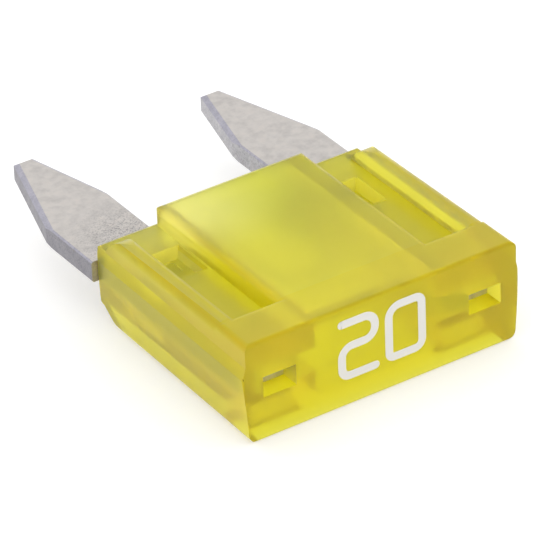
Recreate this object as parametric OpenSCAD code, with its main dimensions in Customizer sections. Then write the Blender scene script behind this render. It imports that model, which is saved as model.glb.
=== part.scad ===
// Small automotive blade fuse, lying flat.
// X runs across the two blades, +Y points out of the blades, +Z is up.
// The origin is under the middle of the whole fuse, on the surface it lies on.

/* [Housing] */
// Width of the housing at its parting line
body_w = 10.9; // [9.9:0.1:12.9]
// Length of the housing, from its numbered face to the face the blades leave
body_l = 9.1; // [8.6:0.1:11]
// Thickness of the housing over the boss, the rails and the head bar
body_t = 3.8; // [3.6:0.05:4.6]
// Thickness between the floors of the upper and the lower channels
web_t = 2.3; // [2.1:0.05:2.6]
// Width of the hollow boss in the middle
boss_w = 5.95; // [5.4:0.05:6.1]
// How far the boss's end stands back from the blade end of the housing
boss_setback = 0.1; // [0:0.02:0.3]
// Length of the head bar behind the numbered face
bar_l = 1.8; // [1.2:0.05:2]

/* [Rails] */
// Width of each side rail over its outer face
rail_w = 0.71; // [0.6:0.01:1.1]
// Flat stretch between an upper rail's end and the blade end of the housing
rail_gap = 0.55; // [0.4:0.05:0.9]
// Length of the arc in which an upper rail's end rises to its full height
rail_rise_l = 1.35; // [0.6:0.05:1.6]
// Flat stretch between a lower rail's end and the blade end of the housing
low_rail_gap = 0.22; // [0.22:0.02:0.6]
// Length of the straight slope at a lower rail's end
low_rail_slope_l = 0.88; // [0.4:0.02:1.2]

/* [Edges] */
// Radius of the long lower edges at the sides
low_edge_r = 0.4; // [0.12:0.01:0.45]
// Radius of the rails' long upper edges at the sides
rail_side_r = 0.36; // [0.12:0.01:0.4]
// Radius of the head bar's upper edges at the sides
bar_side_r = 0.25; // [0.12:0.01:0.4]
// Radius of the edges over and under the numbered face
front_edge_r = 0.15; // [0.08:0.01:0.3]
// Radius of the head bar's edges towards the channels
bar_edge_r = 0.3; // [0.12:0.01:0.34]
// Radius of the boss's edges
boss_edge_r = 0.3; // [0.12:0.01:0.34]
// Radius of the rails' edges along the channels
rail_edge_r = 0.22; // [0.1:0.01:0.3]
// Radius of the two corners beside the numbered face, seen from above
corner_r = 0.12; // [0.1:0.01:0.39]
// Radius of the web's two corners at the blade end, seen from above
end_corner_r = 0.25; // [0.1:0.01:0.35]
// Radius of the boss's corners at the blade end, seen from above
boss_corner_r = 0.22; // [0.1:0.01:0.3]
// Radius of the web's edges at the blade end
web_edge_r = 0.2; // [0.05:0.01:0.25]

/* [Side walls] */
// Height of the mould's parting line on the side walls
parting_z = 2.52; // [2.4:0.02:2.9]
// How far the side wall steps in over the parting line
parting_step = 0.12; // [0.03:0.01:0.14]
// Height over which the side wall steps in
parting_rise = 0.45; // [0.05:0.05:0.5]
// How far each side wall leans in, from the parting line down to its lower edge
side_lean = 0.16; // [0.05:0.01:0.2]
// Angle at which each side wall closes in towards the blade end, in degrees
side_taper = 0.9; // [0:0.1:1]

/* [Cavity] */
// Thickness of the wall behind the numbered face
front_wall = 0.75; // [0.6:0.05:1]
// Thickness of the boss walls over and under the fusible link
boss_roof = 0.55; // [0.45:0.05:0.8]
// Thickness of the boss walls beside the fusible link
boss_side_wall = 0.57; // [0.4:0.01:0.6]
// Radius of the cavity's long edges
cavity_r = 0.25; // [0.1:0.05:0.4]
// Clearance between the fuse element and its slot
fit = 0.05; // [0.03:0.01:0.08]

/* [Test windows and staking pockets] */
// Width of a test window at the numbered face
window_w = 1.28; // [1:0.02:1.4]
// Height of a test window at the numbered face
window_h = 0.78; // [0.6:0.02:0.9]
// How much each side of a window draws in towards the terminal
window_draw = 0.03; // [0.01:0.01:0.08]
// Width of a staking pocket
pocket_w = 1.05; // [0.9:0.05:1.2]
// Length of a staking pocket
pocket_l = 1.8; // [1.3:0.05:2]
// How much each side of a pocket draws in towards its bottom
pocket_draw = 0.12; // [0.06:0.01:0.16]
// Thickness left between an upper pocket's bottom and the fuse element's slot
pocket_floor = 0.13; // [0.12:0.01:0.3]
// Distance of the pockets' middle from the numbered face
pocket_y = 6.55; // [5.8:0.05:6.8]
// Gap between the boss and the pockets beside it
pocket_gap = 0.08; // [0.05:0.01:0.2]
// Width of the mark that the staking punch leaves in a pocket's bottom
mark_w = 0.34; // [0.2:0.02:0.4]
// Length of the punch's mark
mark_l = 0.76; // [0.5:0.02:0.8]
// Depth of the punch's mark
mark_depth = 0.06; // [0.03:0.01:0.06]
// How far the punch's mark lies behind the pocket's middle
mark_back = 0.37; // [0:0.01:0.37]
// Radius of the stake that holds the fuse element
stake_r = 0.3; // [0.2:0.02:0.34]
// Distance of the stake's middle from the terminal's inner edge
stake_inset = 0.1; // [0:0.02:0.2]
// Distance between a stake's end and the middle of the fuse element's thickness
stake_gap = 0.16; // [0.1:0.02:0.3]

/* [Blades] */
// Width of a blade
blade_w = 2.8; // [2.6:0.05:3]
// How far the blades' outer edges stand in from the housing's sides
blade_inset = 0; // [0:0.02:0.2]
// Thickness of a blade
blade_t = 0.8; // [0.7:0.02:0.9]
// How far the fuse element lies over the middle of the housing's thickness
element_rise = 0.12; // [0:0.01:0.14]
// Length of a blade outside the housing
blade_l = 7; // [6.8:0.1:8.4]
// Length of the straight stretch on a blade's outer edge
outer_straight = 2.9; // [2.4:0.1:3.4]
// Length of the straight stretch on a blade's inner edge
inner_straight = 3.8; // [3.4:0.1:4.4]
// Width of a blade's tip
tip_w = 0.75; // [0.6:0.05:1.1]
// How far the tip stands in from the blade's outer edge
tip_inset = 1.25; // [0.9:0.05:1.4]
// Width of the coined bevel round a blade's tip and along its slanting edges
bevel_w = 0.18; // [0.1:0.01:0.28]
// Depth of that bevel on each face
bevel_t = 0.12; // [0.05:0.01:0.2]
// Width and depth of the small bevel along a blade's straight edges
side_bevel = 0.06; // [0.02:0.01:0.12]

/* [Terminals and link] */
// How far a blade's outer edge steps in to its terminal
shoulder_w = 0.72; // [0.55:0.01:0.76]
// Width of the terminal that holds a blade inside the housing
terminal_w = 1.63; // [1.5:0.01:1.7]
// Thickness of the fusible link
link_t = 0.25; // [0.15:0.01:0.4]
// Width of the fusible link's legs
link_w = 0.7; // [0.5:0.02:0.9]
// Width of the fusible link round its bend
neck_w = 0.46; // [0.3:0.02:0.5]
// Radius of the fusible link's bend, at its middle line
link_r = 1.3; // [1.1:0.05:1.5]
// Distance of the bend's centre from the numbered face
link_y = 5.2; // [4.6:0.05:5.4]
// Distance of the link's arms from the numbered face, at their middle line
arm_y = 7.95; // [7.7:0.05:8.2]

/* [Hidden] */
$fn = 48;
// Room by which cutters run past what they cut
over = 1;
// Stretch by which joined shapes overlap
lap = 0.2;
overall_l = body_l + blade_l;
// Distance between the middles of the two blades
pitch = body_w - 2 * blade_inset - blade_w;
mid_z = body_t / 2;
// Height of the middle of the fuse element
element_z = mid_z + element_rise;
channel_depth = (body_t - web_t) / 2;
rail_inner_x = body_w / 2 - parting_step - rail_w;
cavity_w = boss_w - 2 * boss_side_wall;
cavity_h = body_t - 2 * boss_roof;
terminal_outer_x = pitch / 2 + blade_w / 2 - shoulder_w;
terminal_inner_x = terminal_outer_x - terminal_w;
slot_h = blade_t + 2 * fit;
pocket_depth = web_t / 2 - element_rise - slot_h / 2 - pocket_floor;
pocket_x = boss_w / 2 + pocket_gap + pocket_w / 2;
stake_x = terminal_inner_x + stake_inset;

// A rectangle from corner a to corner b with rounded corners
module round_rect(a, b, r) {
    translate([a[0] + r, a[1]]) square([b[0] - a[0] - 2 * r, b[1] - a[1]]);
    translate([a[0], a[1] + r]) square([b[0] - a[0], b[1] - a[1] - 2 * r]);
    for (x = [a[0] + r, b[0] - r], y = [a[1] + r, b[1] - r])
        translate([x, y]) circle(r);
}

// Draws an X-Z outline out along +Y, from y0 to y1
module along_y(y0, y1) {
    translate([0, y1, 0]) rotate([90, 0, 0]) linear_extrude(y1 - y0) children();
}

// Draws a Y-Z outline out along +X, from x0 to x1
module along_x(x0, x1) {
    translate([x0, 0, 0]) rotate([90, 0, 90]) linear_extrude(x1 - x0) children();
}

// Places a copy on the upper and on the lower face
module both_faces() {
    children();
    translate([0, 0, body_t]) mirror([0, 0, 1]) children();
}

// Places a copy on the left and on the right
module both_sides() {
    children();
    mirror([1, 0, 0]) children();
}

// Right half of the cross-section between the side walls, with upper edges of radius high_r
module side_section(high_r) {
    low_x = body_w / 2 - side_lean;
    high_x = body_w / 2 - parting_step;
    high_z = body_t - high_r;
    polygon([
        [-lap, 0], [low_x - low_edge_r, 0], [low_x, low_edge_r], [body_w / 2, parting_z],
        [high_x, parting_z + parting_rise], [high_x, high_z], [high_x - high_r, body_t],
        [-lap, body_t],
    ]);
    translate([low_x - low_edge_r, low_edge_r]) circle(low_edge_r);
    translate([high_x - high_r, high_z]) circle(high_r);
}

// Everything between the side walls, which close in towards the blade end
module side_walls(high_r) {
    both_sides() rotate([0, 0, side_taper]) along_y(-over, body_l + over) side_section(high_r);
}

// What is cut off to round the web's right corner at the blade end
module end_corner() {
    centre_y = body_l - end_corner_r;
    centre_x = (body_w / 2 - end_corner_r - centre_y * sin(side_taper)) / cos(side_taper);
    translate([centre_x, centre_y]) linear_extrude(body_t) difference() {
        polygon([[0, 0], [cos(side_taper), sin(side_taper)] * over, [over, over], [0, over]]);
        circle(end_corner_r);
    }
}

// A hole that narrows by draw on every side over its depth, open towards -Z
module drawn_hole(w, l, depth, draw) {
    intersection() {
        rotate([90, 0, 0]) translate([0, 0, -l]) linear_extrude(2 * l)
            polygon([[-w / 2, 0], [w / 2, 0], [w / 2 - draw, depth], [draw - w / 2, depth]]);
        rotate([90, 0, 90]) translate([0, 0, -w]) linear_extrude(2 * w)
            polygon([[-l / 2, 0], [l / 2, 0], [l / 2 - draw, depth], [draw - l / 2, depth]]);
    }
}

// Everything the housing stays within, with its edges rounded
module envelope() {
    intersection() {
        linear_extrude(body_t) round_rect([-body_w / 2, 0], [body_w / 2, body_l + over], corner_r);
        along_x(-body_w / 2, body_w / 2)
            round_rect([0, 0], [body_l + over, body_t], front_edge_r);
    }
}

// The hollow boss in the middle
module boss() {
    half_w = boss_w / 2;
    end_y = body_l - boss_setback;
    intersection() {
        along_y(0, body_l) round_rect([-half_w, 0], [half_w, body_t], boss_edge_r);
        along_x(-half_w, half_w) round_rect([-over, 0], [end_y, body_t], boss_edge_r);
        linear_extrude(body_t) round_rect([-half_w, -over], [half_w, end_y], boss_corner_r);
    }
}

// The web whose faces are the floors of the channels
module web() {
    along_x(-body_w / 2, body_w / 2)
        round_rect([-over, channel_depth], [body_l, body_t - channel_depth], web_edge_r);
}

// The head bar behind the numbered face
module head_bar() {
    along_x(-body_w / 2, body_w / 2) round_rect([-over, 0], [bar_l, body_t], bar_edge_r);
}

// The side view of an upper rail, whose end rises in an arc
module high_rail_side() {
    foot_y = body_l - rail_gap;
    arc_y = foot_y - rail_rise_l;
    arc_r = (rail_rise_l ^ 2 + channel_depth ^ 2) / (2 * channel_depth);
    translate([0, mid_z]) square([arc_y, mid_z]);
    intersection() {
        translate([arc_y, body_t - arc_r]) circle(arc_r);
        translate([arc_y, body_t - channel_depth - lap]) square([rail_rise_l, channel_depth + lap]);
    }
}

// The side view of a lower rail, whose end rises in a straight slope
module low_rail_side() {
    foot_y = body_l - low_rail_gap;
    polygon([
        [0, 0], [foot_y - low_rail_slope_l, 0], [foot_y, channel_depth], [foot_y, mid_z], [0, mid_z],
    ]);
}

// The upper and the lower rail on the right
module rails() {
    intersection() {
        along_y(0, body_l) round_rect([rail_inner_x, 0], [body_w / 2 + over, body_t], rail_edge_r);
        along_x(0, body_w) {
            high_rail_side();
            low_rail_side();
        }
    }
}

// The housing without its cavity
module housing_shell() {
    intersection() {
        envelope();
        union() {
            boss();
            intersection() {
                side_walls(bar_side_r);
                head_bar();
            }
            intersection() {
                side_walls(rail_side_r);
                difference() {
                    union() {
                        web();
                        both_sides() rails();
                    }
                    both_sides() end_corner();
                }
            }
        }
    }
}

// The space inside that takes the fuse element
module element_room() {
    slot_x = terminal_outer_x + fit;
    translate([-slot_x, front_wall - fit, element_z - slot_h / 2])
        cube([2 * slot_x, body_l, slot_h]);
    along_y(front_wall, body_l + over)
        round_rect([-cavity_w / 2, boss_roof], [cavity_w / 2, boss_roof + cavity_h], cavity_r);
}

// The hole in the numbered face that lets a probe touch a terminal
module test_window() {
    translate([pitch / 2, 0, element_z]) rotate([-90, 0, 0])
        drawn_hole(window_w, window_h, front_wall, window_draw);
}

// The pocket in a channel floor of the lower face, with the mark of the staking punch
module staking_pocket() {
    translate([pocket_x, pocket_y, channel_depth]) {
        drawn_hole(pocket_w, pocket_l, pocket_depth, pocket_draw);
        translate([0, mark_back]) linear_extrude(pocket_depth + mark_depth) {
            square([mark_w, mark_l - mark_w], center = true);
            for (side = [-1, 1]) translate([0, side * (mark_l - mark_w) / 2]) circle(mark_w / 2);
        }
    }
}

// The pegs under the upper and over the lower staking pocket that hold the terminal by its notch
module stakes() {
    peg_z = channel_depth + pocket_depth + mark_depth;
    translate([stake_x, pocket_y, peg_z]) cylinder(r = stake_r, h = element_z - stake_gap - peg_z);
    translate([stake_x, pocket_y, element_z + stake_gap])
        cylinder(r = stake_r, h = body_t - peg_z - element_z - stake_gap);
}

module housing() {
    color([0.86, 0.80, 0.16]) translate([0, -overall_l / 2, 0]) {
        difference() {
            housing_shell();
            element_room();
            both_sides() test_window();
            both_faces() both_sides() staking_pocket();
        }
        both_sides() stakes();
    }
}

// A blade between its straight edges, with the small bevels along them
module blade_strip() {
    inner_x = pitch / 2 - blade_w / 2;
    outer_x = pitch / 2 + blade_w / 2;
    top_z = blade_t / 2;
    along_y(body_l, overall_l) polygon([
        [inner_x, side_bevel - top_z], [inner_x + side_bevel, -top_z],
        [outer_x - side_bevel, -top_z], [outer_x, side_bevel - top_z],
        [outer_x, top_z - side_bevel], [outer_x - side_bevel, top_z],
        [inner_x + side_bevel, top_z], [inner_x, top_z - side_bevel],
    ]);
}

// The outline of a blade's slanting edges and tip, with the edges carried on to the housing
module taper_plan() {
    inner_x = pitch / 2 - blade_w / 2;
    outer_x = pitch / 2 + blade_w / 2;
    tip_outer_x = outer_x - tip_inset;
    tip_inner_x = tip_outer_x - tip_w;
    run_l = blade_l + over;
    polygon([
        [tip_inner_x, overall_l], [tip_outer_x, overall_l],
        [tip_outer_x + tip_inset * run_l / (blade_l - outer_straight), body_l - over],
        [tip_inner_x - (tip_inner_x - inner_x) * run_l / (blade_l - inner_straight), body_l - over],
    ]);
}

// One blade, whose slanting edges and tip carry the bevel that coining leaves
module blade() {
    translate([0, 0, element_z]) intersection() {
        blade_strip();
        hull() {
            linear_extrude(blade_t - 2 * bevel_t, center = true) taper_plan();
            linear_extrude(blade_t, center = true) offset(delta = -bevel_w) taper_plan();
        }
    }
}

// The part of a terminal inside the housing, notched for the stake
module terminal() {
    translate([0, 0, element_z - blade_t / 2]) linear_extrude(blade_t) difference() {
        translate([terminal_inner_x, front_wall]) square([terminal_w, body_l - front_wall]);
        translate([stake_x, pocket_y]) circle(stake_r + fit);
        translate([terminal_inner_x - over, pocket_y - stake_r - fit])
            square([stake_x - terminal_inner_x + over, 2 * (stake_r + fit)]);
    }
}

// The thin U-shaped link that melts when the current is too high
module link() {
    translate([0, 0, element_z - link_t / 2]) linear_extrude(link_t) {
        both_sides() {
            translate([link_r - link_w / 2, link_y])
                square([link_w, arm_y + link_w / 2 - link_y]);
            translate([link_r, arm_y - link_w / 2])
                square([terminal_inner_x + lap - link_r, link_w]);
        }
        difference() {
            translate([0, link_y]) circle(link_r + neck_w / 2);
            translate([0, link_y]) circle(link_r - neck_w / 2);
            translate([-body_w / 2, link_y]) square([body_w, body_w]);
        }
    }
}

module fuse_element() {
    color([0.78, 0.75, 0.73]) translate([0, -overall_l / 2, 0]) {
        both_sides() {
            blade();
            terminal();
        }
        link();
    }
}

housing();
fuse_element();
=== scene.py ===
import math

import bmesh
import bpy
from mathutils import Matrix, Vector

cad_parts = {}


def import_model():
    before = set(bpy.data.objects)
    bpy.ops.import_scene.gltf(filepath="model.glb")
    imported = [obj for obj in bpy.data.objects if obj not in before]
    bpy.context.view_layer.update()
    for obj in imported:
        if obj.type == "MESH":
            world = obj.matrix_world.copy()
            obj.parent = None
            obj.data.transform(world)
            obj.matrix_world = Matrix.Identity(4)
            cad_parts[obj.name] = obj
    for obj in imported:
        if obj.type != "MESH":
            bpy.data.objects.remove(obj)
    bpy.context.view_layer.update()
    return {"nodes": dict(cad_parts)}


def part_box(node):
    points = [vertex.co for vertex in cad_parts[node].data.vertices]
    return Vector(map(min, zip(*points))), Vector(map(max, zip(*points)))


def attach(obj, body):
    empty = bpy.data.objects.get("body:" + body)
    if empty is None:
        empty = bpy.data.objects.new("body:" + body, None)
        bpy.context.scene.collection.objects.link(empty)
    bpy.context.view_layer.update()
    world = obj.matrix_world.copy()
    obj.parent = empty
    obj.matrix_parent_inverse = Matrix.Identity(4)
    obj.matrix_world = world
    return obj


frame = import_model()

MM = 0.001

# Camera, in millimetres and degrees
AIM = (-0.74, -2.35, 2.20)
AZIMUTH = -32.61
ELEVATION = 32.456
ROLL = -2.22
DISTANCE = 172.83
SENSOR = 36
LENS = 352.4
CLIP_START = 10

# Floor, with its size in metres, and the sky's brightness low down and overhead
FLOOR_SIZE = 2.0
FLOOR_ALBEDO = 0.77
FLOOR_GLOW = 0.35
HORIZON = 1.2
ZENITH = 1.04
ZENITH_HEIGHT = 0.8

# Places on the housing, in millimetres: the middle and half width of the channels, the numbered
# face, and the planes just behind it, behind the head bar and just inside the blade end
HOLES_X = 4.1
HOLES_HALF_W = 1.0
FACE_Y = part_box("housing")[0].y / MM
FRONT_Y = FACE_Y + 0.15
BAR_Y = FACE_Y + 1.75
END_Y = FACE_Y + 9.09

# The plastic's tints, from the thinnest to the deepest, and on its outer rounded edges
THIN = (1.0, 1.0, 0.45)
MIDDLING = (1.0, 1.0, 0.11)
DEEP = (1.0, 0.95, 0.06)
ROUNDED = (1.0, 0.86, 0.03)
ROUNDED_GAIN = 2.4
BAR_TOP_DEPTH = 0.6

# Two spots on the boss, in millimetres: a painted highlight, which whitens the tint, and a patch
# of painted shade, which darkens it
HIGHLIGHT_SPOT = (-2.4, -0.1, 3.8)
HIGHLIGHT_RADIUS = 3.4
HIGHLIGHT_SHARE = 0.34
SHADE_SPOT = (0.6, -0.6, 3.8)
SHADE_RADIUS = 4.4
SHADE_SHARE = 0.8
SHADE_TINT = (0.76, 0.81, 1.0)

# How much smoother the upright faces of the plastic are than the others
POLISH = 0.065

# The metal's tints: flat faces, coined bevels, the stamped side faces of each blade, darker than
# the flat faces and on the left blade darker still as painted shade, painted light that lightens
# the metal inside the housing, and specks, which lie thickest at a spot on the left blade's root,
# in millimetres
FLAT = (0.57, 0.54, 0.515)
BEVEL = (0.43, 0.42, 0.48)
LEFT_SIDE_SHADE = (0.31, 0.3, 0.325)
RIGHT_SIDE_SHADE = (0.5, 0.49, 0.51)
INSIDE_PAINTED_LIGHT = (1.16, 1.18, 1.2)
SPECK = (0.12, 0.115, 0.13)
SPECK_SHARE = 0.55
SPECK_SPOT = (-3.4, 1.4, 2.2)
SPECK_RADIUS = 3.0

# The printed number, on the numbered face, in millimetres: each digit is a path of corners across
# and up the face, each with the radius that rounds it
STROKE = 0.3
INK_T = 0.012
WELD = 0.0005
ARC_STEPS = 10
CAP_STEPS = 8
TWO = [
    ((-1.62, 3.2), 0), ((-0.32, 3.2), 0.42), ((-0.32, 2.3), 0.42), ((-1.64, 2.3), 0.42),
    ((-1.64, 1.18), 0.3), ((-0.33, 1.18), 0),
]
ZERO = [
    ((0.22, 1.21), 0.2), ((0.22, 3.16), 0.45), ((1.53, 3.16), 0.26), ((1.53, 1.21), 0.3),
]


def new_material(name):
    """A material with an empty node tree, its tree and its output."""
    mat = bpy.data.materials.new(name)
    mat.use_nodes = True
    tree = mat.node_tree
    tree.nodes.clear()
    return mat, tree, tree.nodes.new("ShaderNodeOutputMaterial")


def add_node(tree, kind, **values):
    """A node with its input values set by name."""
    node = tree.nodes.new("ShaderNode" + kind)
    for key, value in values.items():
        node.inputs[key.replace("_", " ")].default_value = value
    return node


def math_node(tree, operation, *values, clamp=False):
    """A Math node of links or numbers."""
    node = tree.nodes.new("ShaderNodeMath")
    node.operation = operation
    node.use_clamp = clamp
    for socket, value in zip(node.inputs, values):
        if isinstance(value, (int, float)):
            socket.default_value = value
        else:
            tree.links.new(value, socket)
    return node.outputs[0]


def mix(tree, factor, a, b, blend="MIX"):
    """Mixes two colours, each a link or a value."""
    node = tree.nodes.new("ShaderNodeMix")
    node.data_type = "RGBA"
    node.blend_type = blend
    for name, value in (("Factor_Float", factor), ("A_Color", a), ("B_Color", b)):
        socket = next(s for s in node.inputs if s.identifier == name)
        if isinstance(value, (int, float)):
            socket.default_value = value
        elif isinstance(value, tuple):
            socket.default_value = (*value, 1)
        else:
            tree.links.new(value, socket)
    return next(s for s in node.outputs if s.identifier == "Result_Color")


def ramp(tree, value, stops):
    """Colours along a value, each stop a place and a colour."""
    node = tree.nodes.new("ShaderNodeValToRGB")
    elements = node.color_ramp.elements
    while len(elements) < len(stops):
        elements.new(1)
    for element, (place, colour) in zip(elements, stops):
        element.position = place
        element.color = (*colour, 1)
    tree.links.new(value, node.inputs["Fac"])
    return node.outputs["Color"]


def noise(tree, scale, detail=3.0):
    """Noise in the object's own coordinates, with its scale in features per millimetre."""
    coords = tree.nodes.new("ShaderNodeTexCoord")
    node = add_node(tree, "TexNoise", Scale=scale / MM, Detail=detail)
    tree.links.new(coords.outputs["Object"], node.inputs["Vector"])
    return node.outputs["Fac"]


def spread(tree, value, low, high):
    """Maps a noise value to the range from low to high."""
    node = add_node(tree, "MapRange", From_Min=0.3, From_Max=0.7, To_Min=low, To_Max=high)
    tree.links.new(value, node.inputs["Value"])
    return node.outputs["Result"]


def bump(tree, height, strength, distance_mm):
    """A bump from a height, in millimetres."""
    node = add_node(tree, "Bump", Strength=strength, Distance=distance_mm * MM)
    tree.links.new(height, node.inputs["Height"])
    return node.outputs["Normal"]


def along(tree, output, axis):
    """A coordinate or the normal, of the Texture Coordinate node, along one axis."""
    coords = tree.nodes.new("ShaderNodeTexCoord")
    parts = tree.nodes.new("ShaderNodeSeparateXYZ")
    tree.links.new(coords.outputs[output], parts.inputs[0])
    return parts.outputs[axis]


def facing(tree, axis):
    """1 on faces square to an axis of the object, 0 on faces along it."""
    return math_node(tree, "ABSOLUTE", along(tree, "Normal", axis))


def roundness(tree):
    """Over 0 where a face is square to none of the object's axes, as on a rounded edge."""
    most = math_node(tree, "MAXIMUM", facing(tree, "X"), facing(tree, "Y"))
    return math_node(tree, "SUBTRACT", 1.0, math_node(tree, "MAXIMUM", most, facing(tree, "Z")))


def fading_spot(tree, centre, radius):
    """1 at a spot of the object, fading to 0 at a radius from it, in millimetres."""
    coords = tree.nodes.new("ShaderNodeTexCoord")
    away = tree.nodes.new("ShaderNodeVectorMath")
    away.operation = "DISTANCE"
    tree.links.new(coords.outputs["Object"], away.inputs[0])
    away.inputs[1].default_value = Vector(centre) * MM
    fade = add_node(tree, "MapRange", From_Min=0.0, From_Max=radius * MM, To_Min=1.0, To_Max=0.0)
    fade.interpolation_type = "SMOOTHSTEP"
    tree.links.new(away.outputs["Value"], fade.inputs["Value"])
    return fade.outputs["Result"]


def outside(tree):
    """1 beside the holes and channels, -1 on the stretch of the width that they take."""
    side = math_node(tree, "ABSOLUTE", along(tree, "Object", "X"))
    away = math_node(tree, "ABSOLUTE", math_node(tree, "SUBTRACT", side, HOLES_X * MM))
    return math_node(tree, "SIGN", math_node(tree, "SUBTRACT", away, HOLES_HALF_W * MM))


def in_front(tree):
    """1 on the numbered face, -1 behind it."""
    place = along(tree, "Object", "Y")
    return math_node(tree, "SIGN", math_node(tree, "SUBTRACT", FRONT_Y * MM, place))


def depth_of_colour(tree):
    """1 where solid plastic lies behind an upright face, 0 on the walls of the holes and
    channels, 0.5 on the floors and tops between them, and more on the head bar's top."""
    sides = math_node(tree, "MULTIPLY", facing(tree, "X"), outside(tree))
    ends = math_node(tree, "MULTIPLY", facing(tree, "Y"), in_front(tree))
    bar = math_node(tree, "LESS_THAN", along(tree, "Object", "Y"), BAR_Y * MM)
    bar_top = math_node(tree, "MULTIPLY", facing(tree, "Z"), bar)
    top = math_node(tree, "MULTIPLY", bar_top, BAR_TOP_DEPTH)
    total = math_node(tree, "ADD", math_node(tree, "ADD", sides, ends), top)
    return math_node(tree, "MULTIPLY_ADD", total, 0.5, 0.5)


def plastic_tint(tree):
    """The plastic's colour, deeper where it is thick, golden on its outer edges, with a painted
    highlight and painted shade on the boss.
    """
    depth = ramp(tree, depth_of_colour(tree), [(0.0, THIN), (0.5, MIDDLING), (1.0, DEEP)])
    outer = math_node(tree, "MAXIMUM", outside(tree), in_front(tree), clamp=True)
    outer_edge = math_node(tree, "MULTIPLY", roundness(tree), outer)
    tint = mix(tree, math_node(tree, "MULTIPLY", outer_edge, ROUNDED_GAIN), depth, ROUNDED)
    # A painted highlight: the tint whitened around a spot on the boss
    painted_highlight = math_node(tree, "MULTIPLY", fading_spot(tree, HIGHLIGHT_SPOT, HIGHLIGHT_RADIUS), HIGHLIGHT_SHARE)
    tint = mix(tree, painted_highlight, tint, (1.0, 1.0, 1.0))
    # Painted shade: the tint darkened around another spot on the boss
    painted_shade = math_node(tree, "MULTIPLY", fading_spot(tree, SHADE_SPOT, SHADE_RADIUS), SHADE_SHARE)
    return mix(tree, painted_shade, tint, SHADE_TINT, "MULTIPLY")


def housing_material():
    """Clear yellow plastic, frosted by its mould."""
    mat, tree, out = new_material("yellow_plastic")
    shader = add_node(
        tree, "BsdfPrincipled", Transmission_Weight=0.8, IOR=1.5, Specular_Tint=(0.3, 0.3, 0.3, 1)
    )
    tree.links.new(plastic_tint(tree), shader.inputs["Base Color"])
    frosted = spread(tree, noise(tree, scale=1.6), low=0.35, high=0.42)
    upright = math_node(tree, "ADD", facing(tree, "X"), facing(tree, "Y"))
    smooth = math_node(tree, "MULTIPLY", upright, -POLISH)
    tree.links.new(math_node(tree, "ADD", frosted, smooth), shader.inputs["Roughness"])
    waves = bump(tree, noise(tree, scale=1.2), strength=0.3, distance_mm=0.01)
    tree.links.new(waves, shader.inputs["Normal"])
    tree.links.new(shader.outputs[0], out.inputs["Surface"])
    volume = add_node(tree, "VolumeAbsorption", Color=(0.998, 0.95, 0.0, 1), Density=1200)
    tree.links.new(volume.outputs[0], out.inputs["Volume"])
    return mat


def metal_tint(tree):
    """The metal's colour: mottled, lighter inside the housing as painted light, darker on side
    faces, more on the left blade as painted shade, and specked.
    """
    edge = facing(tree, "X")
    # Side faces darker than the flat ones, and the left blade's darker than the right's as
    # painted shade
    left, right = (
        ramp(tree, edge, [(0.0, FLAT), (0.4, BEVEL), (0.7, BEVEL), (0.85, side_shade)])
        for side_shade in (LEFT_SIDE_SHADE, RIGHT_SIDE_SHADE)
    )
    on_right = math_node(tree, "GREATER_THAN", along(tree, "Object", "X"), 0)
    tint = mix(tree, on_right, left, right)
    mottle = ramp(tree, noise(tree, scale=3.5, detail=6.0), [
        (0.3, (0.87, 0.87, 0.88)), (0.55, (1.0, 1.0, 1.0)), (0.75, (1.06, 1.04, 1.03)),
    ])
    tint = mix(tree, 1.0, tint, mottle, "MULTIPLY")
    # Painted light: the metal is lighter inside the housing
    inside = math_node(tree, "LESS_THAN", along(tree, "Object", "Y"), END_Y * MM)
    tint = mix(tree, inside, tint, INSIDE_PAINTED_LIGHT, "MULTIPLY")
    root = fading_spot(tree, SPECK_SPOT, SPECK_RADIUS)
    dirty = math_node(tree, "MAXIMUM", root, math_node(tree, "MULTIPLY", edge, 0.5))
    specks = spread(tree, noise(tree, scale=16.0, detail=2.0), low=1.6, high=-1.2)
    speck = math_node(tree, "MULTIPLY", specks, dirty, clamp=True)
    return mix(tree, math_node(tree, "MULTIPLY", speck, SPECK_SHARE), tint, SPECK)


def metal_material():
    """Dull zinc."""
    mat, tree, out = new_material("zinc")
    shader = add_node(tree, "BsdfPrincipled", Metallic=0.8)
    tree.links.new(metal_tint(tree), shader.inputs["Base Color"])
    rough = spread(tree, noise(tree, scale=3.0), low=0.42, high=0.56)
    tree.links.new(rough, shader.inputs["Roughness"])
    grain = bump(tree, noise(tree, scale=9.0, detail=5.0), strength=0.5, distance_mm=0.012)
    tree.links.new(grain, shader.inputs["Normal"])
    tree.links.new(shader.outputs[0], out.inputs["Surface"])
    return mat


def ink_material():
    """White printing ink."""
    mat, tree, out = new_material("white_ink")
    shader = add_node(tree, "BsdfPrincipled", Base_Color=(0.82, 0.805, 0.765, 1))
    rough = spread(tree, noise(tree, scale=6.0), low=0.45, high=0.6)
    tree.links.new(rough, shader.inputs["Roughness"])
    grain = bump(tree, noise(tree, scale=8.0), strength=0.3, distance_mm=0.005)
    tree.links.new(grain, shader.inputs["Normal"])
    tree.links.new(shader.outputs[0], out.inputs["Surface"])
    return mat


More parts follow.
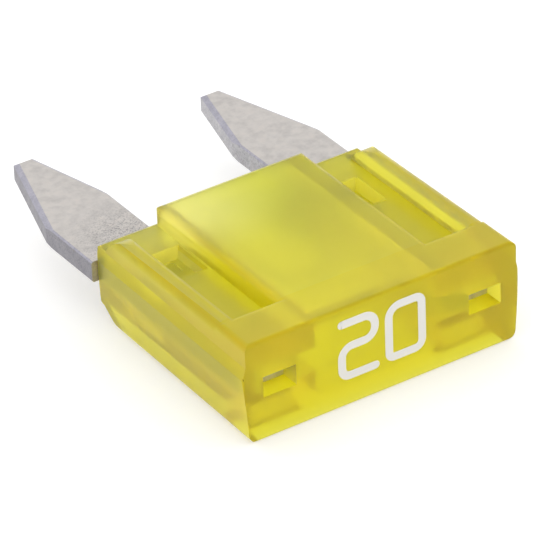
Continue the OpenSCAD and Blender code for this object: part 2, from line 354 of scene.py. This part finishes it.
def floor_material():
    """A white floor that keeps shadows, and glows where it is seen, mirrored or seen through."""
    mat, tree, out = new_material("white_floor")
    diffuse = add_node(tree, "BsdfDiffuse", Color=(FLOOR_ALBEDO, FLOOR_ALBEDO, FLOOR_ALBEDO, 1))
    glow = add_node(tree, "Emission", Color=(1, 1, 1, 1))
    path = tree.nodes.new("ShaderNodeLightPath")
    seen = path.outputs["Is Camera Ray"]
    for other in ("Is Glossy Ray", "Is Transmission Ray"):
        seen = math_node(tree, "MAXIMUM", seen, path.outputs[other])
    share = math_node(tree, "MULTIPLY", seen, FLOOR_GLOW)
    tree.links.new(share, glow.inputs["Strength"])
    both = tree.nodes.new("ShaderNodeAddShader")
    tree.links.new(diffuse.outputs[0], both.inputs[0])
    tree.links.new(glow.outputs[0], both.inputs[1])
    tree.links.new(both.outputs[0], out.inputs["Surface"])
    return mat


def dress(obj, mat):
    """Gives an object its only material."""
    obj.data.materials.clear()
    obj.data.materials.append(mat)


def new_object(name, bm):
    """An object of the scene from a bmesh, which it uses up."""
    mesh = bpy.data.meshes.new(name)
    bm.to_mesh(mesh)
    bm.free()
    obj = bpy.data.objects.new(name, mesh)
    bpy.context.scene.collection.objects.link(obj)
    return obj


def corner_arc(before, corner, after, radius):
    """The points of a rounded corner between two straight stretches."""
    if radius == 0:
        return [corner]
    a = (Vector(before) - Vector(corner)).normalized()
    b = (Vector(after) - Vector(corner)).normalized()
    half = a.angle(b) / 2
    centre = Vector(corner) + (a + b).normalized() * (radius / math.sin(half))
    start = Vector(corner) + a * (radius / math.tan(half)) - centre
    turn = math.pi - 2 * half
    if a.x * b.y - a.y * b.x > 0:
        turn = -turn
    return [
        centre + Matrix.Rotation(turn * i / ARC_STEPS, 2) @ start for i in range(ARC_STEPS + 1)
    ]


def rounded_path(corners, closed):
    """A path through rounded corners."""
    points = []
    last = len(corners) - 1
    for i, (corner, radius) in enumerate(corners):
        before = corners[i - 1][0] if i or closed else corner
        after = corners[(i + 1) % (last + 1)][0] if i < last or closed else corner
        points += corner_arc(before, corner, after, radius)
    return [Vector(p) for p in points]


def stroke_edges(path, closed):
    """The two edges of a stroke of constant width, with round ends where it is open."""
    left, right = [], []
    n = len(path)
    for i, p in enumerate(path):
        before = path[i - 1] if i or closed else p
        after = path[(i + 1) % n] if i < n - 1 or closed else p
        ahead = (after - before).normalized()
        side = Vector((-ahead.y, ahead.x)) * STROKE / 2
        left.append(p + side)
        right.append(p - side)
    if closed:
        return left, right
    for end, step in ((0, -1), (n - 1, 1)):
        ahead = (path[end] - path[end - step]).normalized()
        side = Vector((-ahead.y, ahead.x)) * step
        for k in range(1, CAP_STEPS + 1):
            angle = math.pi / 2 * k / CAP_STEPS
            tip = path[end] + ahead * math.sin(angle) * STROKE / 2
            across = side * math.cos(angle) * STROKE / 2
            if step > 0:
                left.append(tip + across)
                right.append(tip - across)
            else:
                left.insert(0, tip - across)
                right.insert(0, tip + across)
    return left, right


def add_stroke(bm, corners, closed):
    """One digit's stroke, standing off the numbered face by the ink's thickness."""
    left, right = stroke_edges(rounded_path(corners, closed), closed)
    ink_y = FACE_Y - INK_T
    rings = []
    for a, b in zip(left, right):
        quad = [(a, ink_y), (b, ink_y), (b, FACE_Y), (a, FACE_Y)]
        rings.append([bm.verts.new(Vector((p.x, y, p.y)) * MM) for p, y in quad])
    pairs = list(zip(rings, rings[1:]))
    if closed:
        pairs.append((rings[-1], rings[0]))
    for one, two in pairs:
        for k in range(4):
            bm.faces.new([one[k], one[(k + 1) % 4], two[(k + 1) % 4], two[k]])


def printed_number():
    """The number on the housing."""
    bm = bmesh.new()
    add_stroke(bm, TWO, closed=False)
    add_stroke(bm, ZERO, closed=True)
    bmesh.ops.remove_doubles(bm, verts=bm.verts, dist=WELD * MM)
    bmesh.ops.recalc_face_normals(bm, faces=bm.faces)
    obj = new_object("printed_number", bm)
    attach(obj, "root")
    dress(obj, ink_material())


def floor():
    """The floor that the fuse lies on."""
    bm = bmesh.new()
    bmesh.ops.create_grid(bm, x_segments=1, y_segments=1, size=FLOOR_SIZE)
    obj = new_object("floor", bm)
    dress(obj, floor_material())


def camera():
    """The camera, placed by its aim, angles and distance."""
    data = bpy.data.cameras.new("camera")
    data.sensor_width = SENSOR
    data.lens = LENS
    data.clip_start = CLIP_START * MM
    az, el, roll = (math.radians(v) for v in (AZIMUTH, ELEVATION, ROLL))
    right = Vector((math.cos(az), math.sin(az), 0))
    back = Vector((math.sin(az) * math.cos(el), -math.cos(az) * math.cos(el), math.sin(el)))
    up = back.cross(right)
    x_axis = right * math.cos(roll) + up * math.sin(roll)
    y_axis = up * math.cos(roll) - right * math.sin(roll)
    turn = Matrix((x_axis, y_axis, back)).transposed().to_4x4()
    obj = bpy.data.objects.new("camera", data)
    bpy.context.scene.collection.objects.link(obj)
    obj.matrix_world = Matrix.Translation((Vector(AIM) + back * DISTANCE) * MM) @ turn
    bpy.context.scene.camera = obj


def lamp(name, place, size, power):
    """A square soft lamp aimed at the middle of the fuse, in metres and watts."""
    data = bpy.data.lights.new(name, "AREA")
    data.size = size
    data.energy = power
    obj = bpy.data.objects.new(name, data)
    bpy.context.scene.collection.objects.link(obj)
    obj.location = place
    obj.rotation_euler = Vector(place).to_track_quat("Z", "Y").to_euler()


def world():
    """A white sky, brightest at the horizon."""
    data = bpy.data.worlds.new("world")
    data.use_nodes = True
    tree = data.node_tree
    back = tree.nodes["Background"]
    back.inputs["Color"].default_value = (1, 1, 1, 1)
    rise = add_node(
        tree, "MapRange", From_Min=0.0, From_Max=ZENITH_HEIGHT, To_Min=HORIZON, To_Max=ZENITH
    )
    tree.links.new(along(tree, "Generated", "Z"), rise.inputs["Value"])
    tree.links.new(rise.outputs["Result"], back.inputs["Strength"])
    bpy.context.scene.world = data


camera()
world()
lamp("key", place=(-0.02, 0.15, 0.3), size=0.2, power=0.03)
floor()
dress(frame["nodes"]["housing"], housing_material())
dress(frame["nodes"]["fuse_element"], metal_material())
printed_number()
bpy.context.scene.view_settings.view_transform = "Standard"
